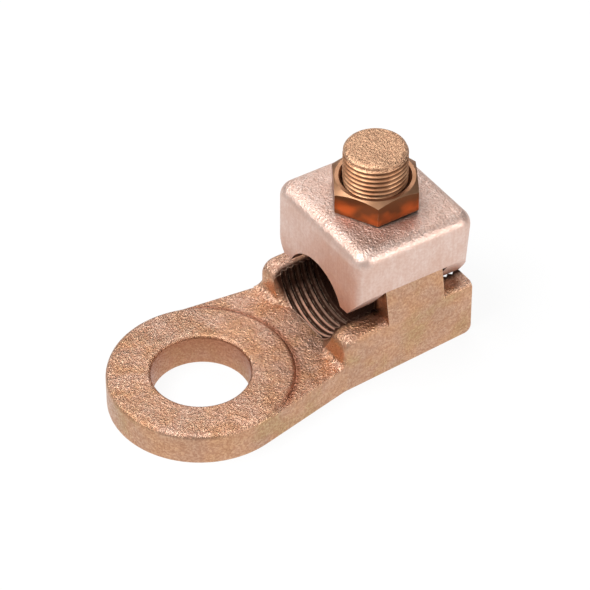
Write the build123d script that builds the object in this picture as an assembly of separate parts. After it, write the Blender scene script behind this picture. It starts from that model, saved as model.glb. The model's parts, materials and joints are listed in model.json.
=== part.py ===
from build123d import *
from math import asin, atan2, cos, degrees, radians, sin, sqrt, tan
import os

# A bolted cable lug of cast copper alloy, in three pieces.
# The body is one casting: a ring pad, a tongue, a ribbed cable trough, a closed yoke that stands
# round the trough, and a stud on top of the yoke. A loose saddle straddles the yoke, and a thin
# hexagon nut on the stud drives it down on the cable.
# All lengths are in millimetres and all angles in degrees. The origin is the centre of the pad
# hole on the base plane, +X runs towards the cable end and +Z up along the stud.

# Driving dimensions of the ring pad and tongue
PAD_RADIUS = 26.0
PAD_HOLE_RADIUS = 13.65
PAD_HEIGHT = 9.7
PAD_EDGE_ROUND = 1.4
HOLE_EDGE_ROUND = 1.2
TONGUE_HEIGHT = 8.8
TONGUE_EDGE_ROUND = 0.8

# Driving dimensions of the cable block: its plan tapers a little from the tongue to the rear
BLOCK_FRONT = 33.2
BLOCK_REAR = 76.6
BLOCK_FRONT_HALF_WIDTH = 20.8
BLOCK_REAR_HALF_WIDTH = 20.1
WALL_HEIGHT = 17.8
WALL_END_ROUND = 4.2
WALL_EDGE_ROUND = 1.8
REAR_BASE_ROUND = 2.2
SWEEP_UP_RADIUS = 2.4

# Driving dimensions of the cable bore and its ribs
BORE_RADIUS = 13.5
BORE_AXIS_HEIGHT = 19.9
BORE_START = 35.2
MOUTH_FLARE = 1.6
GROOVE_PITCH = 2.0
GROOVE_DEPTH = 0.75
FIRST_GROOVE_INSET = 0.85

# Driving dimensions of the yoke
YOKE_CENTRE = 57.4
YOKE_LENGTH = 18.8
YOKE_BRIDGE = 5.0
YOKE_SIDE_DRAFT = 9.0
YOKE_TOP_ROUND = 9.0

# Driving dimensions of the stud
STUD_RADIUS = 9.0
STUD_TOP = 61.6
STUD_TIP_ROUND = 1.5

# Driving dimensions of the saddle, which rests tipped back on the yoke
SADDLE_LENGTH = 39.2
SADDLE_WIDTH = 42.2
SADDLE_HEIGHT = 22.2
SADDLE_CORNER_ROUND = 4.4
SADDLE_TOP_ROUND = 4.3
SADDLE_SIDE_DRAFT = 1.8
SADDLE_PITCH = 2.5
SADDLE_TOP_WALL = 5.0
SKIRT_DEPTH = 14.9
SKIRT_EDGE_BEVEL = 0.8
FOOT_HALF_WIDTH = 15.2
REAR_FOOT_DROP = 1.1
ARCH_RADIUS = 13.0
ARCH_RISE = 7.6
STUD_HOLE_CLEARANCE = 1.0

# Driving dimensions of the nut
NUT_ACROSS_FLATS = 22.9
NUT_HEIGHT = 7.3
NUT_TURN = -1.6
NUT_CHAMFER_ANGLE = 30.0
NUT_FACE_SHARE = 0.97
NUT_COUNTERSINK = 1.0

# Clearances between the pieces
SEAT_GAP = 0.05
YOKE_SIDE_CLEARANCE = 0.4
YOKE_END_CLEARANCE = 0.4
NUT_BORE_CLEARANCE = 0.05

# Number of short bevels that make up each round rim, which keeps the facets few
RIM_BEVELS = 3

# Room left past a face by a cutting solid, and the slack for matching one size to another
PAST = 5.0
TINY = 0.001


def plan_extrusion(outline, height):
    """A closed plan outline raised from the base plane."""
    return extrude(make_face(outline), amount=height)


def block_half_width(x):
    """Half the width of the cable block at a place along its length."""
    share = (x - BLOCK_FRONT) / (BLOCK_REAR - BLOCK_FRONT)
    return BLOCK_FRONT_HALF_WIDTH + share * (BLOCK_REAR_HALF_WIDTH - BLOCK_FRONT_HALF_WIDTH)


def along_x(radius, x_from, x_to, height):
    """A plain round bar that runs along X at a height above the base."""
    bar = Cylinder(radius, x_to - x_from, rotation=(0, 90, 0))
    return bar.moved(Location(((x_from + x_to) / 2, 0, height)))


def rim_points(radius, height, size, flare):
    """Points of a round rim in side view, from the wall to the top: flare is 1 in a hole, -1 on a bar."""
    turns = [radians(90 * step / RIM_BEVELS) for step in range(RIM_BEVELS + 1)]
    return [(radius + flare * size * (1 - cos(turn)), height - size * (1 - sin(turn))) for turn in turns]


def turned(outline_points):
    """A solid turned about the Z axis from the points of its side view, which start and end on it."""
    return revolve(make_face(Plane.XZ * Polyline(*outline_points, close=True)), Axis.Z)


def ring_pad():
    """The raised round pad, with its top edge rounded."""
    rim = rim_points(PAD_RADIUS, PAD_HEIGHT, PAD_EDGE_ROUND, -1)
    return turned([(0, 0), (PAD_RADIUS, 0), *rim, (0, PAD_HEIGHT)])


def pad_hole():
    """What is cut for the pad hole, with the round of its top rim."""
    rim = rim_points(PAD_HOLE_RADIUS, PAD_HEIGHT, HOLE_EDGE_ROUND, 1)
    above = PAD_HEIGHT + PAST
    return turned([(0, -PAST), (PAD_HOLE_RADIUS, -PAST), *rim, (rim[-1][0], above), (0, above)])


def tongue_outline():
    """Plan of the tongue: tangent lines run from the pad circle to the block's front corners."""
    reach = sqrt(BLOCK_FRONT**2 + BLOCK_FRONT_HALF_WIDTH**2)
    corner_angle = degrees(atan2(BLOCK_FRONT_HALF_WIDTH, BLOCK_FRONT))
    tangent_angle = corner_angle + 90 - degrees(asin(PAD_RADIUS / reach))
    touch = (PAD_RADIUS * cos(radians(tangent_angle)), PAD_RADIUS * sin(radians(tangent_angle)))
    far_side = ThreePointArc(touch, (-PAD_RADIUS, 0), (touch[0], -touch[1]))
    sides = Polyline(
        (touch[0], -touch[1]),
        (BLOCK_FRONT, -BLOCK_FRONT_HALF_WIDTH),
        (BLOCK_FRONT, BLOCK_FRONT_HALF_WIDTH),
        touch,
    )
    return far_side + sides


def tongue():
    """The flat plate between the pad and the cable block, with its long top edges rounded."""
    plate = plan_extrusion(tongue_outline(), TONGUE_HEIGHT)
    front_face = plate.faces().sort_by(Axis.X)[-1]
    long_edges = plate.edges().group_by(Axis.Z)[-1] - front_face.edges()
    return fillet(long_edges, TONGUE_EDGE_ROUND)


def block_plan():
    """Plan of the cable block, which tapers from the tongue to the rear."""
    return Polyline(
        (BLOCK_FRONT, -BLOCK_FRONT_HALF_WIDTH),
        (BLOCK_REAR, -BLOCK_REAR_HALF_WIDTH),
        (BLOCK_REAR, BLOCK_REAR_HALF_WIDTH),
        (BLOCK_FRONT, BLOCK_FRONT_HALF_WIDTH),
        close=True,
    )


def block_side_view():
    """Side view of the cable block, with the walls' front end and the rear base rounded."""
    face = make_face(
        Plane.XZ
        * Polyline(
            (BLOCK_FRONT, 0),
            (BLOCK_REAR, 0),
            (BLOCK_REAR, WALL_HEIGHT),
            (BLOCK_FRONT, WALL_HEIGHT),
            close=True,
        )
    )
    corners = face.vertices().sort_by(Axis.X)
    face = fillet(corners[:2].sort_by(Axis.Z)[-1], WALL_END_ROUND)
    return fillet(face.vertices().group_by(Axis.X)[-1].sort_by(Axis.Z)[0], REAR_BASE_ROUND)


def cable_block():
    """The block with the two low walls, rounded like a lump at their front ends."""
    bar = extrude(block_side_view(), amount=BLOCK_FRONT_HALF_WIDTH + PAST, both=True)
    block = bar & plan_extrusion(block_plan(), WALL_HEIGHT + PAST)
    base = block & plan_extrusion(block_plan(), TONGUE_HEIGHT)
    side_faces = [block.faces().sort_by(Axis.Y)[0], block.faces().sort_by(Axis.Y)[-1]]
    rim = [edge for face in side_faces for edge in face.edges() if is_wall_edge(edge)]
    return fillet(rim, WALL_EDGE_ROUND) + base


def is_wall_edge(edge):
    """Whether an edge of the block's side belongs to the front, the rounded end or the top."""
    middle = edge @ 0.5
    return middle.Z > TINY and middle.X < BLOCK_REAR - REAR_BASE_ROUND


def cove_section():
    """Section of the cove, with the foot of the wall's front at the origin."""
    middle = SWEEP_UP_RADIUS * (1 - cos(radians(45)))
    sunk = WALL_EDGE_ROUND / 2
    hollow = ThreePointArc((-SWEEP_UP_RADIUS, 0), (-middle, middle), (0, SWEEP_UP_RADIUS))
    inside_wall = [(0, SWEEP_UP_RADIUS), (sunk, SWEEP_UP_RADIUS), (sunk, -sunk)]
    inside_tongue = [(-SWEEP_UP_RADIUS, -sunk), (-SWEEP_UP_RADIUS, 0)]
    return make_face(Plane.XZ * (hollow + Polyline(*inside_wall, *inside_tongue)))


def cove():
    """The concave sweep from the tongue up the block's front and round its front corners."""
    half_width = BLOCK_FRONT_HALF_WIDTH - WALL_EDGE_ROUND
    straight = extrude(cove_section(), amount=half_width, both=True)
    corner = revolve(cove_section(), Axis((WALL_EDGE_ROUND, 0, 0), (0, 0, 1)))
    corners = [corner.moved(Location((0, side * half_width, 0))) for side in (-1, 1)]
    plan = plan_extrusion(tongue_outline(), WALL_HEIGHT) + plan_extrusion(block_plan(), WALL_HEIGHT)
    return (straight + corners).moved(Location((BLOCK_FRONT, 0, TONGUE_HEIGHT))) & plan


def bridge_height():
    """Height of the yoke's top face, where the saddle's ceiling rests."""
    return BORE_AXIS_HEIGHT + BORE_RADIUS + YOKE_BRIDGE


def yoke_half_width(height):
    """Half the width of the yoke between its drafted sides at a height above the base."""
    foot = block_half_width(YOKE_CENTRE - YOKE_LENGTH / 2)
    return foot - (height - WALL_HEIGHT) * tan(radians(YOKE_SIDE_DRAFT))


def yoke_section(bottom, top, gap):
    """End view of the yoke, or of the hollow round it: drafted sides and a rounded top."""
    low = yoke_half_width(bottom) + gap
    high = yoke_half_width(top) + gap
    outline = Polyline((-low, bottom), (-high, top), (high, top), (low, bottom), close=True)
    face = make_face(Plane.YZ * outline)
    return fillet(face.vertices().group_by(Axis.Z)[-1], YOKE_TOP_ROUND)


def yoke():
    """The closed ring that stands round the cable bore and carries the stud."""
    bar = extrude(yoke_section(0, bridge_height(), 0), amount=YOKE_LENGTH / 2, both=True)
    return bar.moved(Location((YOKE_CENTRE, 0, 0))) & plan_extrusion(block_plan(), bridge_height() + PAST)


def stud():
    """The stud's plain bar at the thread's outer size, rounded at its tip."""
    foot = bridge_height() - YOKE_BRIDGE / 2
    rim = rim_points(STUD_RADIUS, STUD_TOP, STUD_TIP_ROUND, -1)
    return turned([(0, foot), (STUD_RADIUS, foot), *rim, (0, STUD_TOP)]).moved(Location((YOKE_CENTRE, 0, 0)))


def cable_way():
    """The round way for the cable, and the smooth flare at its front mouth."""
    way = along_x(BORE_RADIUS, BORE_START, BLOCK_REAR + PAST, BORE_AXIS_HEIGHT)
    mouth_length = BORE_START - BLOCK_FRONT + PAST
    slope = MOUTH_FLARE / (BORE_START - BLOCK_FRONT)
    mouth = Cone(BORE_RADIUS + slope * mouth_length, BORE_RADIUS, mouth_length, rotation=(0, 90, 0))
    mouth = mouth.moved(Location((BORE_START - mouth_length / 2, 0, BORE_AXIS_HEIGHT)))
    above_tongue = Box(
        mouth_length + PAST,
        2 * (BLOCK_FRONT_HALF_WIDTH + PAST),
        2 * BORE_AXIS_HEIGHT,
        align=(Align.MAX, Align.CENTER, Align.MIN),
    ).moved(Location((BORE_START + PAST, 0, TONGUE_HEIGHT)))
    return way + (mouth & above_tongue)


def groove_places():
    """Where the grooves lie along the open trough: at one pitch, leaving out the closed yoke."""
    first = BORE_START + FIRST_GROOVE_INSET
    count = int((BLOCK_REAR - first) / GROOVE_PITCH)
    places = [first + GROOVE_PITCH * step for step in range(count)]
    return [x for x in places if abs(x - YOKE_CENTRE) > YOKE_LENGTH / 2 + GROOVE_DEPTH]


def rib_grooves():
    """The ring grooves in the trough, whose crests between them are the ribs that grip the cable."""
    inside = GROOVE_DEPTH / 2
    reach = GROOVE_DEPTH + inside
    foot = BORE_RADIUS - inside
    outline = Polyline((-reach, foot), (0, BORE_RADIUS + GROOVE_DEPTH), (reach, foot), close=True)
    ring = revolve(make_face(Plane.XZ * outline), Axis.X)
    return [ring.moved(Location((x, 0, BORE_AXIS_HEIGHT))) for x in groove_places()]


def lug_body():
    """The one casting: pad, tongue, block, yoke and stud, with the cable way and pad hole cut."""
    solid = tongue() + cable_block() + cove() + yoke() + ring_pad() + stud()
    return solid - cable_way() - rib_grooves() - pad_hole()


def saddle_blank():
    """The saddle's outer block, drafted narrower towards its feet and rounded at the top."""
    depth = SADDLE_HEIGHT + REAR_FOOT_DROP
    draft = depth * tan(radians(SADDLE_SIDE_DRAFT))
    footprint = RectangleRounded(SADDLE_LENGTH - 2 * draft, SADDLE_WIDTH - 2 * draft, SADDLE_CORNER_ROUND)
    blank = extrude(footprint, amount=depth, taper=-SADDLE_SIDE_DRAFT)
    blank = fillet(blank.edges().group_by(Axis.Z)[-1], SADDLE_TOP_ROUND)
    return blank.moved(Location((0, 0, -REAR_FOOT_DROP)))


def saddle_bevel(foot_level, end):
    """What is cut below the skirts over one end, so that its foot stands in from both sides."""
    skirt = SADDLE_HEIGHT - SKIRT_DEPTH
    outer = SADDLE_WIDTH / 2
    lip_slope = (skirt + SKIRT_EDGE_BEVEL) / (outer - FOOT_HALF_WIDTH)
    lip = FOOT_HALF_WIDTH + skirt / lip_slope
    foot_slope = (skirt - foot_level) / (lip - FOOT_HALF_WIDTH)
    outline = Polyline(
        (FOOT_HALF_WIDTH - PAST / foot_slope, foot_level - PAST),
        (outer + PAST, foot_level - PAST),
        (outer + PAST, skirt + lip_slope * (outer + PAST - lip)),
        (lip, skirt),
        close=True,
    )
    bevel = extrude(make_face(Plane.YZ * outline), amount=end * SADDLE_LENGTH)
    foot = Box(SADDLE_LENGTH, SADDLE_WIDTH, PAST, align=(Align.CENTER, Align.CENTER, Align.MAX))
    return bevel + mirror(bevel, Plane.XZ) + foot.moved(Location((end * SADDLE_LENGTH / 2, 0, foot_level)))


def saddle_hollow():
    """The space for the yoke, open below and through both sides under the skirts."""
    skirt = SADDLE_HEIGHT - SKIRT_DEPTH
    ceiling = SADDLE_HEIGHT - SADDLE_TOP_WALL
    to_yoke = bridge_height() - ceiling
    tipping = ceiling * tan(radians(SADDLE_PITCH))
    half_length = YOKE_LENGTH / 2 + YOKE_END_CLEARANCE + tipping
    section = yoke_section(to_yoke - PAST, bridge_height(), YOKE_SIDE_CLEARANCE)
    hollow = extrude(section, amount=half_length, both=True).moved(Location((0, 0, -to_yoke)))
    under = Box(2 * half_length, 2 * SADDLE_WIDTH, skirt + PAST, align=(Align.CENTER, Align.CENTER, Align.MAX))
    return hollow + under.moved(Location((0, 0, skirt)))


def saddle_clamp():
    """The saddle: end walls with cable arches, a skirt each side and a hollow over the yoke."""
    ceiling = SADDLE_HEIGHT - SADDLE_TOP_WALL
    solid = saddle_blank() - saddle_bevel(0, -1) - saddle_bevel(-REAR_FOOT_DROP, 1)
    solid = solid - along_x(ARCH_RADIUS, -SADDLE_LENGTH, SADDLE_LENGTH, ARCH_RISE - ARCH_RADIUS)
    solid = solid - saddle_hollow()
    hole = Cylinder(STUD_RADIUS + STUD_HOLE_CLEARANCE, 2 * SADDLE_HEIGHT)
    solid = solid - hole
    tipped = solid.rotate(Axis((0, 0, ceiling), (0, 1, 0)), SADDLE_PITCH)
    return tipped.moved(Location((YOKE_CENTRE, 0, saddle_ceiling_height() - ceiling)))


def saddle_ceiling_height():
    """Height of the middle of the saddle's ceiling, whose rear edge side rests on the yoke."""
    return bridge_height() + SEAT_GAP + YOKE_LENGTH / 2 * tan(radians(SADDLE_PITCH))


def nut_seat_height():
    """Height of the nut's lower face, which touches the saddle's highest spot under a corner."""
    corner = NUT_ACROSS_FLATS / sqrt(3)
    reach = max(-corner * cos(radians(NUT_TURN + side)) for side in range(0, 360, 60))
    top = saddle_ceiling_height() + SADDLE_TOP_WALL / cos(radians(SADDLE_PITCH))
    return top + reach * tan(radians(SADDLE_PITCH)) + SEAT_GAP


def clamp_nut():
    """The thin hexagon nut, chamfered on its upper face and countersunk round the thread."""
    corner = NUT_ACROSS_FLATS / sqrt(3)
    hexagon = extrude(RegularPolygon(corner, 6), amount=NUT_HEIGHT)
    face_radius = NUT_FACE_SHARE * NUT_ACROSS_FLATS / 2
    drop = (corner - face_radius + PAST) * tan(radians(NUT_CHAMFER_ANGLE))
    envelope = make_face(
        Plane.XZ
        * Polyline(
            (0, 0),
            (corner + PAST, 0),
            (corner + PAST, NUT_HEIGHT - drop),
            (face_radius, NUT_HEIGHT),
            (0, NUT_HEIGHT),
            close=True,
        )
    )
    nut = hexagon & revolve(envelope, Axis.Z)
    bore_radius = STUD_RADIUS + NUT_BORE_CLEARANCE
    nut = nut - Cylinder(bore_radius, 3 * NUT_HEIGHT)
    sink = Cone(bore_radius, bore_radius + NUT_COUNTERSINK, NUT_COUNTERSINK)
    nut = nut - sink.moved(Location((0, 0, NUT_HEIGHT - NUT_COUNTERSINK / 2)))
    return nut.rotate(Axis.Z, NUT_TURN).moved(Location((YOKE_CENTRE, 0, nut_seat_height())))


os.makedirs("parts", exist_ok=True)
pieces = {"lug_body": lug_body(), "saddle_clamp": saddle_clamp(), "clamp_nut": clamp_nut()}
for name, piece in pieces.items():
    export_step(piece, f"parts/{name}.step")
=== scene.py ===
import json
from math import cos, pi, radians, sin, tau

import bmesh
import bpy
from mathutils import Matrix, Vector


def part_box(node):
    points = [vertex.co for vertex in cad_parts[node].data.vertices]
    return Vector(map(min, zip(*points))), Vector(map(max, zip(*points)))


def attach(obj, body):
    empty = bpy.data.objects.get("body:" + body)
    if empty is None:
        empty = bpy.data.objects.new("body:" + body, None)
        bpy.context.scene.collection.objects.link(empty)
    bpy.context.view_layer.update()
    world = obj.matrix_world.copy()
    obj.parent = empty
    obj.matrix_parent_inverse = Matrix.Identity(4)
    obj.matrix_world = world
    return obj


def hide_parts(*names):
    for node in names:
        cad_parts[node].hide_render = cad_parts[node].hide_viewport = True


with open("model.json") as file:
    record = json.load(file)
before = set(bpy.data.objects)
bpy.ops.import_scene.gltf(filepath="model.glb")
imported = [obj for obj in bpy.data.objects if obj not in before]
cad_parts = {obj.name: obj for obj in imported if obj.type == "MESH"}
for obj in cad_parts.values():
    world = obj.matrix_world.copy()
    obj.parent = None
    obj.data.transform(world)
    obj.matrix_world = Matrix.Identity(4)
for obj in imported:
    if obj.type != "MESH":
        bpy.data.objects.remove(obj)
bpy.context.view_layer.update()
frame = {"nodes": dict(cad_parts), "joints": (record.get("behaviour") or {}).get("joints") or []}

# Lug body
# One sand casting in a tan copper alloy: ring pad, tongue, ribbed cable trough and closed yoke.
# The mould leaves a coarse grain on the upper faces, and the sides are dressed smoother.
# The trough is painted dark, partly for its oxide and partly as painted shade. The threaded stud
# on top is made in the next section.

MM = 0.001
YOKE_TOP = 38.4 * MM
HOLE_RADIUS = 13.65 * MM
PAD_RADIUS = 26.0 * MM
TROUGH_AXIS = 19.9 * MM
TROUGH_RADIUS = 13.5 * MM
TROUGH_START = 34.6 * MM
FIRST_GROOVE = 36.05 * MM
GROOVE_PITCH = 2.0 * MM
BODY_GRAIN = 0.62 * MM
BODY_WORN_HIGHLIGHT_RIM = 0.7 * MM
BODY_NOOK_SHADE = 5 * MM
BODY_SIDE_RELIEF = 0.14 * MM
BODY_TOP_RELIEF = 0.46 * MM
SMOOTH_ANGLE = radians(38)
MERGE_REACH = 0.0005 * MM
CUT_CLEARANCE = 0.02 * MM

CAST_TAN = (0.67, 0.39, 0.225, 1)
CAST_PINK = (0.82, 0.56, 0.44, 1)
CAST_OLIVE = (0.56, 0.38, 0.19, 1)
CAST_GREY = (0.48, 0.33, 0.24, 1)
CAST_RED = (0.34, 0.13, 0.075, 1)
CAST_RUBBED_HIGHLIGHT = (0.86, 0.64, 0.48, 1)
HOLE_RED = (0.40, 0.155, 0.085, 1)
RIB_CREST_HIGHLIGHT = (0.86, 0.54, 0.40, 1)
PAINTED_SHADE_BROWN = (0.055, 0.022, 0.014, 1)
TROUGH_OXIDE_AND_SHADE = (0.045, 0.016, 0.01, 1)

ROUND_UPRIGHT = (1, 1, 0)
ROUND_LENGTHWISE = (0, 1, 1)


def new_material(name):
    """An empty node material and its node tree."""
    material = bpy.data.materials.new(name)
    material.use_nodes = True
    material.node_tree.nodes.clear()
    return material, material.node_tree


def feed(tree, target, value):
    """Sets a plain value on an input, or links an output to it."""
    if isinstance(value, bpy.types.NodeSocket):
        tree.links.new(value, target)
    else:
        target.default_value = value


def math_node(tree, operation, *values, clamp=False):
    node = tree.nodes.new("ShaderNodeMath")
    node.operation = operation
    node.use_clamp = clamp
    for target, value in zip(node.inputs, values):
        feed(tree, target, value)
    return node.outputs[0]


def vector_node(tree, operation, *values):
    node = tree.nodes.new("ShaderNodeVectorMath")
    node.operation = operation
    for target, value in zip(node.inputs, values):
        feed(tree, target, value)
    return node.outputs


def product(tree, first, *others):
    for other in others:
        first = math_node(tree, "MULTIPLY", first, other)
    return first


def inverse(tree, share):
    return math_node(tree, "SUBTRACT", 1.0, share)


def map_range(tree, value, low, high, to_low=0.0, to_high=1.0):
    node = tree.nodes.new("ShaderNodeMapRange")
    for target, given in zip(node.inputs, (value, low, high, to_low, to_high)):
        feed(tree, target, given)
    return node.outputs["Result"]


def between(tree, share, at_none, at_full):
    """A value that goes from one number to the other as a share goes from 0 to 1."""
    return map_range(tree, share, 0.0, 1.0, at_none, at_full)


def laid_over(tree, below, colour, share, strength=1.0):
    """A colour over the one below it, as thick as its share times its strength."""
    node = tree.nodes.new("ShaderNodeMix")
    node.data_type = "RGBA"
    feed(tree, node.inputs["Factor"], product(tree, share, strength))
    sides = [side for side in node.inputs if side.type == "RGBA"]
    feed(tree, sides[0], below)
    feed(tree, sides[1], colour)
    return next(side for side in node.outputs if side.type == "RGBA")


def place_on_piece(tree):
    return tree.nodes.new("ShaderNodeTexCoord").outputs["Object"]


def coordinate(tree, vector, letter):
    """One of the three numbers of a place or a direction."""
    node = tree.nodes.new("ShaderNodeSeparateXYZ")
    feed(tree, node.inputs[0], vector)
    return node.outputs[letter]


def stretched(tree, vector, scale):
    """The place on the piece with each direction scaled by itself."""
    node = tree.nodes.new("ShaderNodeMapping")
    feed(tree, node.inputs["Vector"], vector)
    node.inputs["Scale"].default_value = scale
    return node.outputs["Vector"]


def noise(tree, vector, per_metre, detail=2.0, roughness=0.5):
    node = tree.nodes.new("ShaderNodeTexNoise")
    feed(tree, node.inputs["Vector"], vector)
    feed(tree, node.inputs["Scale"], per_metre)
    node.inputs["Detail"].default_value = detail
    node.inputs["Roughness"].default_value = roughness
    return node.outputs["Fac"]


def patches(tree, vector, per_metre, detail, faint, full):
    """Soft patches: 0 where the noise is under the faint level, and 1 where it is over the full one."""
    return map_range(tree, noise(tree, vector, per_metre, detail), faint, full)


def upward_share(tree, low=0.3, high=0.8):
    """How far a spot faces up, from 0 on the sides to 1 on the upper faces."""
    facing = tree.nodes.new("ShaderNodeNewGeometry").outputs["Normal"]
    return map_range(tree, coordinate(tree, facing, "Z"), low, high)


def radius_about(tree, where, axis_point, across):
    """Distance of a spot from a line through a point, measured in the two directions across it."""
    offset = vector_node(tree, "SUBTRACT", where, axis_point)[0]
    flat = vector_node(tree, "MULTIPLY", offset, across)[0]
    return vector_node(tree, "LENGTH", flat)["Value"]


def bump(tree, height, depth):
    node = tree.nodes.new("ShaderNodeBump")
    feed(tree, node.inputs["Distance"], depth)
    feed(tree, node.inputs["Height"], height)
    return node.outputs["Normal"]


def metal_shader(tree, colour, roughness, normal):
    shader = tree.nodes.new("ShaderNodeBsdfPrincipled")
    shader.inputs["Metallic"].default_value = 1.0
    feed(tree, shader.inputs["Base Color"], colour)
    feed(tree, shader.inputs["Roughness"], roughness)
    feed(tree, shader.inputs["Normal"], normal)
    output = tree.nodes.new("ShaderNodeOutputMaterial")
    tree.links.new(shader.outputs[0], output.inputs["Surface"])


def new_group(name, inputs, outputs):
    """A shader node group with its named inputs and outputs."""
    tree = bpy.data.node_groups.new(name, "ShaderNodeTree")
    for label, value in inputs.items():
        socket = tree.interface.new_socket(label, in_out="INPUT", socket_type="NodeSocketFloat")
        socket.default_value = value
    for label in outputs:
        tree.interface.new_socket(label, in_out="OUTPUT", socket_type="NodeSocketFloat")
    given = tree.nodes.new("NodeGroupInput").outputs
    result = tree.nodes.new("NodeGroupOutput").inputs
    return tree, given, result


def use_group(tree, group, **values):
    node = tree.nodes.new("ShaderNodeGroup")
    node.node_tree = group
    for label, value in values.items():
        feed(tree, node.inputs[label.replace("_", " ")], value)
    return node.outputs


def cast_grain_group():
    """Height and shade of a cast skin: crowded small mounds over a slow unevenness."""
    mounds_per_grain, slow_per_grain = 0.8, 0.13
    mound_share, slow_share = 0.35, 1.6
    pit_level, crest_level = 0.6, 0.84
    tree, given, result = new_group("cast_grain", {"Grain Size": 0.8 * MM}, ["Height", "Shade"])
    where = place_on_piece(tree)
    grains = math_node(tree, "DIVIDE", 1.0, given["Grain Size"])
    fine = noise(tree, where, grains, detail=3.0, roughness=0.62)
    cells = tree.nodes.new("ShaderNodeTexVoronoi")
    cells.feature = "SMOOTH_F1"
    feed(tree, cells.inputs["Vector"], where)
    feed(tree, cells.inputs["Scale"], product(tree, grains, mounds_per_grain))
    mounds = product(tree, inverse(tree, cells.outputs["Distance"]), mound_share)
    slow = noise(tree, where, product(tree, grains, slow_per_grain))
    skin = math_node(tree, "ADD", fine, mounds)
    feed(tree, result["Height"], math_node(tree, "ADD", skin, product(tree, slow, slow_share)))
    feed(tree, result["Shade"], map_range(tree, skin, pit_level, crest_level))
    return tree


def edge_wear_and_highlight_group():
    """A mask of the rims, rubbed bright by handling and given a painted highlight."""
    straight, sharp = 0.98, 0.75
    sizes = {"Reach": 0.6 * MM, "Break Up": 700.0}
    tree, given, result = new_group("edge_wear_and_highlight", sizes, ["Mask"])
    bevel = tree.nodes.new("ShaderNodeBevel")
    bevel.samples = 6
    feed(tree, bevel.inputs["Radius"], given["Reach"])
    facing = tree.nodes.new("ShaderNodeNewGeometry").outputs["Normal"]
    alike = vector_node(tree, "DOT_PRODUCT", bevel.outputs["Normal"], facing)["Value"]
    rim = map_range(tree, alike, straight, sharp)
    rubbed_and_highlit = patches(tree, place_on_piece(tree), given["Break Up"], detail=2.0, faint=0.35, full=0.6)
    feed(tree, result["Mask"], product(tree, rim, rubbed_and_highlit))
    return tree


def painted_crevice_shade_group():
    """A mask of painted shade in the nooks, from ambient occlusion, without the shade that the floor
    gives.
    """
    floor_shade_end, clear_of_floor = 2 * MM, 7 * MM
    sizes = {"Reach": 6 * MM, "Open": 0.6, "Shut": 0.15}
    tree, given, result = new_group("painted_crevice_shade", sizes, ["Mask"])
    sky = tree.nodes.new("ShaderNodeAmbientOcclusion")
    sky.samples = 12
    feed(tree, sky.inputs["Distance"], given["Reach"])
    shut = map_range(tree, sky.outputs["AO"], given["Open"], given["Shut"])
    height = coordinate(tree, place_on_piece(tree), "Z")
    off_floor = map_range(tree, height, floor_shade_end, clear_of_floor)
    feed(tree, result["Mask"], product(tree, shut, off_floor))
    return tree


cast_grain = cast_grain_group()
edge_wear_and_highlight = edge_wear_and_highlight_group()
painted_crevice_shade = painted_crevice_shade_group()


def bolt_hole_share(tree, where):
    """1 on the upper wall of the pad's bolt hole, and half as much at its foot."""
    rim_fade, upper_wall = 0.5 * MM, 9 * MM
    radius = radius_about(tree, where, (0, 0, 0), ROUND_UPRIGHT)
    inside = map_range(tree, radius, HOLE_RADIUS + rim_fade, HOLE_RADIUS)
    return product(tree, inside, map_range(tree, coordinate(tree, where, "Z"), 0.0, upper_wall, 0.5, 1.0))


def trough_share(tree, where):
    """1 on the wall of the cable trough and the yoke's bore, fading out at the mouth and rims."""
    rim_fade, rim_full = 2.6 * MM, 0.9 * MM
    mouth_fade, mouth_full, mouth_lean = 1.4 * MM, 2.8 * MM, 0.2
    radius = radius_about(tree, where, (0, 0, TROUGH_AXIS), ROUND_LENGTHWISE)
    inside = map_range(tree, radius, TROUGH_RADIUS + rim_fade, TROUGH_RADIUS + rim_full)
    lean = product(tree, coordinate(tree, where, "Z"), mouth_lean)
    along = math_node(tree, "ADD", coordinate(tree, where, "X"), lean)
    behind = map_range(tree, along, TROUGH_START + mouth_fade, TROUGH_START + mouth_full)
    return product(tree, inside, behind)


def rib_crest_highlight_share(tree, where):
    """1 along the ribs' crests low down near the mouth, for a painted highlight where they catch the
    light.
    """
    crest_foot, crest_top = 0.3 * MM, 0.08 * MM
    crest_edge, crest_middle = 0.24, 0.1
    highlight_from, highlight_full = 13 * MM, 8.5 * MM
    mouth_fade, rear_full, rear_end = 0.5 * MM, 40 * MM, 47 * MM
    along = coordinate(tree, where, "X")
    radius = radius_about(tree, where, (0, 0, TROUGH_AXIS), ROUND_LENGTHWISE)
    inner = map_range(tree, radius, TROUGH_RADIUS + crest_foot, TROUGH_RADIUS + crest_top)
    from_groove = math_node(tree, "SUBTRACT", along, FIRST_GROOVE)
    share_of_pitch = math_node(tree, "FRACT", math_node(tree, "DIVIDE", from_groove, GROOVE_PITCH))
    off_middle = math_node(tree, "ABSOLUTE", math_node(tree, "SUBTRACT", share_of_pitch, 0.5))
    middle = map_range(tree, off_middle, crest_edge, crest_middle)
    low = map_range(tree, coordinate(tree, where, "Z"), highlight_from, highlight_full)
    behind = map_range(tree, along, TROUGH_START, TROUGH_START + mouth_fade)
    front = map_range(tree, along, rear_end, rear_full)
    return product(tree, inner, middle, low, behind, front)


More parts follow.
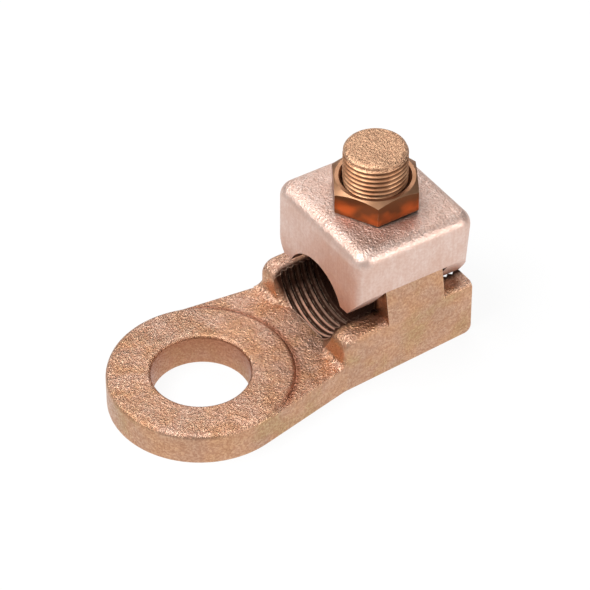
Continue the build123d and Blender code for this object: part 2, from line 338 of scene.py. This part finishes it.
def pad_step_shade_share(tree, where):
    """1 in the crease where the raised ring pad drops to the tongue, for painted shade there."""
    crease_edge, crease_middle = 1.7 * MM, 0.4 * MM
    side_top, upper_face = 8.2 * MM, 8.6 * MM
    pad_flank, pad_rear = 8 * MM, 14 * MM
    radius = radius_about(tree, where, (0, 0, 0), ROUND_UPRIGHT)
    off = math_node(tree, "ABSOLUTE", math_node(tree, "SUBTRACT", radius, PAD_RADIUS))
    near = map_range(tree, off, crease_edge, crease_middle)
    upper = map_range(tree, coordinate(tree, where, "Z"), side_top, upper_face)
    behind = map_range(tree, coordinate(tree, where, "X"), pad_flank, pad_rear)
    return product(tree, near, upper, behind)


def cast_bronze():
    """Tan casting with pink, grey and olive patches and red pits, rubbed rims with painted highlights, a
    trough dark with oxide and painted shade, painted highlights on the rib crests and painted shade in
    the crease and nooks.
    """
    pit_roughness, crest_roughness, trough_roughness = 0.5, 0.26, 0.75
    material, tree = new_material("cast_bronze")
    where = place_on_piece(tree)
    grain = use_group(tree, cast_grain, Grain_Size=BODY_GRAIN)
    wear_and_highlight = use_group(tree, edge_wear_and_highlight, Reach=BODY_WORN_HIGHLIGHT_RIM)["Mask"]
    nook_shade = use_group(tree, painted_crevice_shade, Reach=BODY_NOOK_SHADE, Open=0.45, Shut=0.1)["Mask"]
    trough = trough_share(tree, where)
    up = upward_share(tree)
    blotches = patches(tree, where, per_metre=150.0, detail=4.0, faint=0.36, full=0.64)
    tarnish = patches(tree, where, per_metre=75.0, detail=5.0, faint=0.46, full=0.64)
    olive = patches(tree, where, per_metre=110.0, detail=2.0, faint=0.5, full=0.7)
    level = stretched(tree, where, (0.3, 0.3, 1))
    streaks = patches(tree, level, per_metre=500.0, detail=3.0, faint=0.4, full=0.7)
    side_streaks = product(tree, streaks, inverse(tree, up))
    pits = inverse(tree, grain["Shade"])
    colour = laid_over(tree, CAST_TAN, CAST_PINK, blotches, strength=between(tree, up, 0.3, 0.85))
    colour = laid_over(tree, colour, CAST_GREY, tarnish, strength=0.4)
    colour = laid_over(tree, colour, CAST_OLIVE, olive, strength=between(tree, up, 0.75, 0.15))
    colour = laid_over(tree, colour, CAST_RED, side_streaks, strength=0.15)
    colour = laid_over(tree, colour, CAST_RED, pits, strength=between(tree, up, 0.4, 0.58))
    # Painted shade in the crease where the ring pad drops to the tongue.
    colour = laid_over(tree, colour, CAST_RED, pad_step_shade_share(tree, where), strength=0.8)
    colour = laid_over(tree, colour, HOLE_RED, bolt_hole_share(tree, where), strength=0.8)
    # The trough's dark colour is partly its oxide and partly painted shade where the saddle keeps the
    # light off.
    colour = laid_over(tree, colour, TROUGH_OXIDE_AND_SHADE, trough, strength=0.97)
    # Painted highlight along the rib crests low near the mouth.
    colour = laid_over(tree, colour, RIB_CREST_HIGHLIGHT, rib_crest_highlight_share(tree, where), strength=0.95)
    # Rims rubbed bright by handling, with a painted highlight.
    colour = laid_over(tree, colour, CAST_RUBBED_HIGHLIGHT, wear_and_highlight, strength=0.55)
    # Painted shade: the nooks that ambient occlusion finds get a dark brown.
    colour = laid_over(tree, colour, PAINTED_SHADE_BROWN, nook_shade, strength=0.9)
    relief = between(tree, up, BODY_SIDE_RELIEF, BODY_TOP_RELIEF)
    outside = between(tree, grain["Shade"], pit_roughness, crest_roughness)
    roughness = math_node(tree, "MAXIMUM", outside, product(tree, trough, trough_roughness))
    metal_shader(tree, colour, roughness, bump(tree, grain["Height"], relief))
    return material


def paint(obj, material):
    obj.data.materials.clear()
    obj.data.materials.append(material)


def add_piece(name, mesh, body):
    obj = bpy.data.objects.new(name, mesh)
    bpy.context.scene.collection.objects.link(obj)
    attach(obj, body)
    return obj


def work_in_modifiers(obj):
    """Gives the object its mesh with the modifiers worked in, and takes them off."""
    ready = obj.evaluated_get(bpy.context.evaluated_depsgraph_get())
    made = bpy.data.meshes.new_from_object(ready)
    obj.modifiers.clear()
    obj.data = made


def casting_without_stud():
    """A merged copy of the solid casting, cut off at the yoke's top where the stud stands."""
    work = bmesh.new()
    work.from_mesh(frame["nodes"]["lug_body"].data)
    bmesh.ops.remove_doubles(work, verts=work.verts, dist=MERGE_REACH)
    everything = work.verts[:] + work.edges[:] + work.faces[:]
    cut_point = (0, 0, YOKE_TOP + CUT_CLEARANCE)
    cut = bmesh.ops.bisect_plane(
        work, geom=everything, plane_co=cut_point, plane_no=(0, 0, 1), clear_outer=True
    )
    rim = [part for part in cut["geom_cut"] if isinstance(part, bmesh.types.BMEdge)]
    bmesh.ops.edgeloop_fill(work, edges=rim)
    work.normal_update()
    for face in work.faces:
        face.smooth = True
    for edge in work.edges:
        edge.smooth = edge.calc_face_angle(pi) < SMOOTH_ANGLE
    mesh = bpy.data.meshes.new("casting")
    work.to_mesh(mesh)
    work.free()
    return mesh


casting = add_piece("casting", casting_without_stud(), "body")
weigh = casting.modifiers.new("weigh", "WEIGHTED_NORMAL")
weigh.keep_sharp = True
work_in_modifiers(casting)
paint(casting, cast_bronze())
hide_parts("lug_body")

# Threaded stud
# The stud is part of the casting. Its tip stays rough and rounded from the mould, and a fine
# right-hand thread is cut below it, which shines where the tool has bared the metal.

STUD_AXIS = Vector(next(joint for joint in frame["joints"] if joint["name"] == "nut_spin")["pos_m"])
STUD_RADIUS = 9.0 * MM
STUD_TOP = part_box("lug_body")[1][2]
STUD_SUNK = 0.3 * MM
STUD_GRAIN = 0.75 * MM
TIP_ROUND = 1.5 * MM
TIP_STEPS = 8
TIP_RINGS = (0.75, 0.5, 0.25)
TIP_FADE = (2.2 * MM, 1.4 * MM)
TIP_RELIEF = 0.45 * MM
THREAD_PITCH = 1.5 * MM
THREAD_DEPTH = 0.85 * MM
THREAD_TURN = -0.078
THREAD_BELOW_TIP = 0.5 * MM
THREAD_RUN_OUT = 0.5 * THREAD_PITCH
THREAD_RELIEF = 0.02 * MM
ROUND_STEPS = 96
ROW_STEP = 0.1 * MM

THREAD_BRIGHT = (0.74, 0.42, 0.24, 1)
THREAD_DULL = (0.50, 0.24, 0.125, 1)
CAST_TIP = (0.68, 0.42, 0.26, 1)


def stud_rows():
    """Radius and height of each row of points on the plain stud, from its foot to the tip's middle."""
    foot = YOKE_TOP - STUD_SUNK
    shoulder = STUD_TOP - TIP_ROUND
    flat = STUD_RADIUS - TIP_ROUND
    count = round((shoulder - foot) / ROW_STEP)
    rows = [(STUD_RADIUS, foot + (shoulder - foot) * step / count) for step in range(count)]
    for step in range(TIP_STEPS + 1):
        turn = radians(90 * step / TIP_STEPS)
        rows.append((flat + TIP_ROUND * cos(turn), shoulder + TIP_ROUND * sin(turn)))
    return rows + [(flat * share, STUD_TOP) for share in TIP_RINGS]


def turned_mesh(name, rows):
    """A closed bar turned about the stud's axis from rows of radius and height."""
    points = []
    for radius, height in rows:
        for step in range(ROUND_STEPS):
            turn = tau * step / ROUND_STEPS
            points.append((STUD_AXIS.x + radius * cos(turn), STUD_AXIS.y + radius * sin(turn), height))
    faces = []
    for row in range(len(rows) - 1):
        for step in range(ROUND_STEPS):
            low, high = row * ROUND_STEPS, (row + 1) * ROUND_STEPS
            after = (step + 1) % ROUND_STEPS
            faces.append((low + step, low + after, high + after, high + step))
    last = (len(rows) - 1) * ROUND_STEPS
    faces.append(tuple(range(ROUND_STEPS - 1, -1, -1)))
    faces.append(tuple(range(last, last + ROUND_STEPS)))
    mesh = bpy.data.meshes.new(name)
    mesh.from_pydata(points, [], faces)
    return mesh


def thread_tree(material):
    """Sinks a V groove into a turned bar along a helix, fading out near both ends."""
    root_edge, crest_edge = 0.12, 0.88
    tree = bpy.data.node_groups.new("cut_thread", "GeometryNodeTree")
    tree.interface.new_socket("Geometry", in_out="INPUT", socket_type="NodeSocketGeometry")
    for label in ("Axis X", "Pitch", "Depth", "Turn", "Foot", "Tip", "Run Out"):
        tree.interface.new_socket(label, in_out="INPUT", socket_type="NodeSocketFloat")
    tree.interface.new_socket("Geometry", in_out="OUTPUT", socket_type="NodeSocketGeometry")
    given = tree.nodes.new("NodeGroupInput").outputs
    where = tree.nodes.new("GeometryNodeInputPosition").outputs[0]
    across = math_node(tree, "SUBTRACT", coordinate(tree, where, "X"), given["Axis X"])
    sideways = coordinate(tree, where, "Y")
    height = coordinate(tree, where, "Z")

    share_of_turn = math_node(tree, "DIVIDE", math_node(tree, "ARCTAN2", sideways, across), tau)
    pitches = math_node(tree, "DIVIDE", height, given["Pitch"])
    helix = math_node(tree, "SUBTRACT", pitches, share_of_turn)
    phase = math_node(tree, "FRACT", math_node(tree, "ADD", helix, given["Turn"]))
    off_root = math_node(tree, "ABSOLUTE", math_node(tree, "SUBTRACT", phase, 0.5))
    groove = map_range(tree, product(tree, off_root, 2.0), root_edge, crest_edge, 1.0, 0.0)
    below_tip = math_node(tree, "SUBTRACT", given["Tip"], height)
    above_foot = math_node(tree, "SUBTRACT", height, given["Foot"])
    fade_top = math_node(tree, "DIVIDE", below_tip, given["Run Out"], clamp=True)
    fade_foot = math_node(tree, "DIVIDE", above_foot, given["Run Out"], clamp=True)
    sunk = product(tree, groove, fade_top, fade_foot, given["Depth"], -1.0)

    outward = tree.nodes.new("ShaderNodeCombineXYZ")
    feed(tree, outward.inputs["X"], across)
    feed(tree, outward.inputs["Y"], sideways)
    shift = tree.nodes.new("ShaderNodeVectorMath")
    shift.operation = "SCALE"
    feed(tree, shift.inputs[0], vector_node(tree, "NORMALIZE", outward.outputs[0])[0])
    feed(tree, shift.inputs["Scale"], sunk)
    moved = tree.nodes.new("GeometryNodeSetPosition")
    tree.links.new(given["Geometry"], moved.inputs["Geometry"])
    feed(tree, moved.inputs["Offset"], shift.outputs[0])
    smooth = tree.nodes.new("GeometryNodeSetShadeSmooth")
    tree.links.new(moved.outputs[0], smooth.inputs["Geometry"])
    realize = tree.nodes.new("GeometryNodeRealizeInstances")
    tree.links.new(smooth.outputs[0], realize.inputs[0])
    coat = tree.nodes.new("GeometryNodeSetMaterial")
    coat.inputs["Material"].default_value = material
    tree.links.new(realize.outputs[0], coat.inputs["Geometry"])
    tree.links.new(coat.outputs[0], tree.nodes.new("NodeGroupOutput").inputs["Geometry"])
    return tree


def run_tree(obj, tree, sizes):
    """Puts a Geometry Nodes tree on a piece with its named sizes."""
    modifier = obj.modifiers.new(tree.name, "NODES")
    modifier.node_group = tree
    inputs = [item for item in tree.interface.items_tree if item.in_out == "INPUT"]
    sockets = {item.name: item.identifier for item in inputs}
    for label, value in sizes.items():
        modifier[sockets[label]] = value


def threaded_bronze():
    """Cast skin on the tip, and bared metal with painted shade in the roots along the thread."""
    below_crest, near_root = 0.2 * MM, 0.7 * THREAD_DEPTH
    thread_roughness, tip_roughness = 0.5, 0.4
    material, tree = new_material("threaded_bronze")
    where = place_on_piece(tree)
    grain = use_group(tree, cast_grain, Grain_Size=STUD_GRAIN)
    radius = radius_about(tree, where, STUD_AXIS, ROUND_UPRIGHT)
    root_shade = map_range(tree, radius, STUD_RADIUS - below_crest, STUD_RADIUS - near_root)
    tip_low, tip_high = (STUD_TOP - down for down in TIP_FADE)
    tip = map_range(tree, coordinate(tree, where, "Z"), tip_low, tip_high)
    blotches = patches(tree, where, per_metre=260.0, detail=2.0, faint=0.38, full=0.66)
    cast = laid_over(tree, CAST_TIP, CAST_RED, inverse(tree, grain["Shade"]), strength=0.4)
    cut = laid_over(tree, THREAD_DULL, THREAD_BRIGHT, blotches)
    # Painted shade in the thread's roots.
    cut = laid_over(tree, cut, PAINTED_SHADE_BROWN, root_shade, strength=0.7)
    colour = laid_over(tree, cut, cast, tip)
    relief = between(tree, tip, THREAD_RELIEF, TIP_RELIEF)
    roughness = between(tree, tip, thread_roughness, tip_roughness)
    metal_shader(tree, colour, roughness, bump(tree, grain["Height"], relief))
    return material


stud = add_piece("threaded_stud", turned_mesh("threaded_stud", stud_rows()), "body")
stud_sizes = {
    "Axis X": STUD_AXIS.x,
    "Pitch": THREAD_PITCH,
    "Depth": THREAD_DEPTH,
    "Turn": THREAD_TURN,
    "Foot": YOKE_TOP,
    "Tip": STUD_TOP - THREAD_BELOW_TIP,
    "Run Out": THREAD_RUN_OUT,
}
run_tree(stud, thread_tree(threaded_bronze()), stud_sizes)
work_in_modifiers(stud)
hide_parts("lug_body")

# Saddle
# A separate copper casting that straddles the yoke and presses the cable down.
# It is pale and satin, with an orange-peel top, and its dressed sides carry fine upright strokes.

SKIRT_FOOT = 22.0 * MM
SKIRT_RED_END = 29.0 * MM
SKIRT_RED_SWAY = 2 * MM
SADDLE_GRAIN = 0.66 * MM
SADDLE_NOOK_SHADE = 5 * MM
SADDLE_SIDE_RELIEF = 0.08 * MM
SADDLE_TOP_RELIEF = 0.4 * MM

COPPER_PALE = (0.83, 0.66, 0.59, 1)
COPPER_WARM = (0.64, 0.38, 0.28, 1)
COPPER_RED = (0.50, 0.25, 0.17, 1)


def cast_copper():
    """Pale copper with warm blotches, a pitted top, stroked sides, a redder foot and painted shade in its
    nooks.
    """
    pit_roughness, crest_roughness = 0.54, 0.44
    material, tree = new_material("cast_copper")
    where = place_on_piece(tree)
    grain = use_group(tree, cast_grain, Grain_Size=SADDLE_GRAIN)
    nook_shade = use_group(tree, painted_crevice_shade, Reach=SADDLE_NOOK_SHADE, Open=0.6, Shut=0.15)["Mask"]
    up = upward_share(tree, 0.6, 0.99)
    blotches = patches(tree, where, per_metre=150.0, detail=3.0, faint=0.36, full=0.66)
    upright = stretched(tree, where, (1, 1, 0.1))
    strokes = patches(tree, upright, per_metre=1400.0, detail=2.0, faint=0.35, full=0.7)
    side_strokes = product(tree, strokes, inverse(tree, up))
    sway = product(tree, blotches, SKIRT_RED_SWAY)
    height = math_node(tree, "ADD", coordinate(tree, where, "Z"), sway)
    foot = map_range(tree, height, SKIRT_RED_END, SKIRT_FOOT)
    pits = inverse(tree, grain["Shade"])
    colour = laid_over(tree, COPPER_PALE, COPPER_WARM, blotches, strength=0.35)
    colour = laid_over(tree, colour, COPPER_RED, foot, strength=0.75)
    colour = laid_over(tree, colour, COPPER_WARM, side_strokes, strength=0.3)
    colour = laid_over(tree, colour, COPPER_WARM, pits, strength=between(tree, up, 0.25, 0.52))
    # Painted shade in the saddle's nooks.
    colour = laid_over(tree, colour, PAINTED_SHADE_BROWN, nook_shade, strength=0.85)
    relief = between(tree, up, SADDLE_SIDE_RELIEF, SADDLE_TOP_RELIEF)
    roughness = between(tree, grain["Shade"], pit_roughness, crest_roughness)
    metal_shader(tree, colour, roughness, bump(tree, grain["Height"], relief))
    return material


paint(frame["nodes"]["saddle_clamp"], cast_copper())

# Nut
# A thin turned hexagon nut of darker bronze, glossy on its sides and dull on its chamfer.
# The brown skin of its sides has orange patches, and its corners are worn bright and carry a painted
# highlight.

NUT_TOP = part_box("clamp_nut")[1][2]
NUT_HEIGHT = 7.3 * MM
NUT_WORN_HIGHLIGHT_RIM = 0.5 * MM
NUT_NOOK_SHADE = 1.5 * MM
NUT_RELIEF = 0.02 * MM

NUT_BROWN = (0.15, 0.058, 0.024, 1)
NUT_ORANGE = (0.46, 0.11, 0.028, 1)
NUT_CHAMFER = (0.50, 0.27, 0.155, 1)
NUT_FLAT_TOP_SHADE = (0.38, 0.20, 0.115, 1)
NUT_STAIN = (0.25, 0.12, 0.06, 1)
NUT_WORN_HIGHLIGHT = (0.62, 0.38, 0.24, 1)


def side_patch_share(tree, where):
    """Orange patches low on the nut's sides, fainter where it meets its seat."""
    patch_top, patch_full, seat_fade = 1.5 * MM, 4 * MM, 1.5 * MM
    height = coordinate(tree, where, "Z")
    seat = NUT_TOP - NUT_HEIGHT
    spots = patches(tree, where, per_metre=190.0, detail=1.0, faint=0.42, full=0.66)
    low = map_range(tree, height, NUT_TOP - patch_top, NUT_TOP - patch_full)
    off_seat = map_range(tree, height, seat, seat + seat_fade, 0.25, 1.0)
    return product(tree, spots, low, off_seat)


def nut_mouth_shade_share(tree, where):
    """1 next to the stud, where the mouth of the nut's bore gets painted shade."""
    mouth_edge, mouth_inner = 0.8 * MM, 0.3 * MM
    radius = radius_about(tree, where, STUD_AXIS, ROUND_UPRIGHT)
    return map_range(tree, radius, STUD_RADIUS + mouth_edge, STUD_RADIUS + mouth_inner)


def turned_bronze():
    """Glossy brown sides with orange patches, a dull, stained chamfer, a top face painted darker as
    shade, worn corners with painted highlights, and painted shade at the bore's mouth and in nooks.
    """
    side_roughness, top_roughness = 0.3, 0.46
    material, tree = new_material("turned_bronze")
    where = place_on_piece(tree)
    nook_shade = use_group(tree, painted_crevice_shade, Reach=NUT_NOOK_SHADE, Open=0.7, Shut=0.3)["Mask"]
    rubbed_and_highlit = use_group(tree, edge_wear_and_highlight, Reach=NUT_WORN_HIGHLIGHT_RIM)["Mask"]
    up = upward_share(tree)
    stains = patches(tree, where, per_metre=210.0, detail=3.0, faint=0.42, full=0.7)
    sides = laid_over(tree, NUT_BROWN, NUT_ORANGE, side_patch_share(tree, where))
    # The flat top face is painted darker than the chamfer, as painted shade.
    dull = laid_over(tree, NUT_CHAMFER, NUT_FLAT_TOP_SHADE, upward_share(tree, 0.93, 0.99))
    dull = laid_over(tree, dull, NUT_STAIN, stains, strength=0.6)
    colour = laid_over(tree, sides, dull, up)
    # Corners rubbed bright by handling, with a painted highlight.
    colour = laid_over(tree, colour, NUT_WORN_HIGHLIGHT, rubbed_and_highlit, strength=0.55)
    # Painted shade at the mouth of the nut's bore, next to the stud.
    colour = laid_over(tree, colour, PAINTED_SHADE_BROWN, nut_mouth_shade_share(tree, where), strength=0.7)
    # Painted shade in the nut's nooks.
    colour = laid_over(tree, colour, PAINTED_SHADE_BROWN, nook_shade, strength=0.5)
    roughness = between(tree, up, side_roughness, top_roughness)
    metal_shader(tree, colour, roughness, bump(tree, noise(tree, where, 900.0), NUT_RELIEF))
    return material


paint(frame["nodes"]["clamp_nut"], turned_bronze())

# Stage, light and camera
# A plain white floor under three soft studio lamps and a dim white sky.
# The camera stands where the photograph was taken from, with the same long lens.

FLOOR_HALF = 12.0
FLOOR_GLOW = 0.9
FLOOR_PAINT = (0.9, 0.9, 0.9, 1)
SKY_WHITE = (1, 1, 1, 1)
SKY_STRENGTH = 0.1
LAMP_AIM = Vector((0.03, 0.0, 0.02))

CAMERA_AZIMUTH = radians(-34.155)
CAMERA_ELEVATION = radians(42.011)
CAMERA_ROLL = radians(-0.146)
CAMERA_OFFSET = Vector((25.658, 27.562, 970.18)) * MM
CAMERA_CLIP = 10 * MM
FOCAL_PIXELS = 3541.9
FRAME_PIXELS = 590
SENSOR_WIDTH = 36.0


def white_stage(name):
    """White to the camera, in reflections and through glass, and plain and pale to all other light."""
    material, tree = new_material(name)
    path = tree.nodes.new("ShaderNodeLightPath").outputs
    seen = math_node(tree, "MAXIMUM", path["Is Camera Ray"], path["Is Glossy Ray"])
    seen = math_node(tree, "MAXIMUM", seen, path["Is Transmission Ray"])
    plain = tree.nodes.new("ShaderNodeBsdfDiffuse")
    plain.inputs["Color"].default_value = FLOOR_PAINT
    glow = tree.nodes.new("ShaderNodeEmission")
    mix = tree.nodes.new("ShaderNodeMixShader")
    feed(tree, mix.inputs[0], product(tree, seen, FLOOR_GLOW))
    tree.links.new(plain.outputs[0], mix.inputs[1])
    tree.links.new(glow.outputs[0], mix.inputs[2])
    output = tree.nodes.new("ShaderNodeOutputMaterial")
    tree.links.new(mix.outputs[0], output.inputs["Surface"])
    return material


def softbox(name, place, size, power):
    """A rectangular lamp aimed at the middle of the lug."""
    lamp = bpy.data.lights.new(name, "AREA")
    lamp.shape = "RECTANGLE"
    lamp.size, lamp.size_y = size
    lamp.energy = power
    obj = bpy.data.objects.new(name, lamp)
    bpy.context.scene.collection.objects.link(obj)
    obj.location = place
    obj.rotation_euler = (LAMP_AIM - Vector(place)).to_track_quat("-Z", "Y").to_euler()


floor_mesh = bpy.data.meshes.new("floor")
corners = [(x * FLOOR_HALF, y * FLOOR_HALF, 0) for x, y in ((-1, -1), (1, -1), (1, 1), (-1, 1))]
floor_mesh.from_pydata(corners, [], [(0, 1, 2, 3)])
floor = bpy.data.objects.new("floor", floor_mesh)
bpy.context.scene.collection.objects.link(floor)
paint(floor, white_stage("floor_white"))

world = bpy.data.worlds.new("studio")
bpy.context.scene.world = world
world.use_nodes = True
background = world.node_tree.nodes["Background"]
background.inputs["Color"].default_value = SKY_WHITE
background.inputs["Strength"].default_value = SKY_STRENGTH

softbox("back_lamp", place=(0.42, 0.58, 0.66), size=(0.7, 0.5), power=3.5)
softbox("key_lamp", place=(-0.45, 0.1, 0.75), size=(0.8, 0.6), power=10)
softbox("side_lamp", place=(0.35, -0.7, 0.45), size=(0.45, 0.35), power=3.6)

camera = bpy.data.objects.new("camera", bpy.data.cameras.new("camera"))
bpy.context.scene.collection.objects.link(camera)
turn = Matrix.Rotation(CAMERA_AZIMUTH, 4, "Z") @ Matrix.Rotation(pi / 2 - CAMERA_ELEVATION, 4, "X")
camera.matrix_world = turn @ Matrix.Translation(CAMERA_OFFSET) @ Matrix.Rotation(CAMERA_ROLL, 4, "Z")
camera.data.sensor_width = SENSOR_WIDTH
camera.data.lens = SENSOR_WIDTH * FOCAL_PIXELS / FRAME_PIXELS
camera.data.clip_start = CAMERA_CLIP
bpy.context.scene.camera = camera
bpy.context.scene.view_settings.view_transform = "Standard"
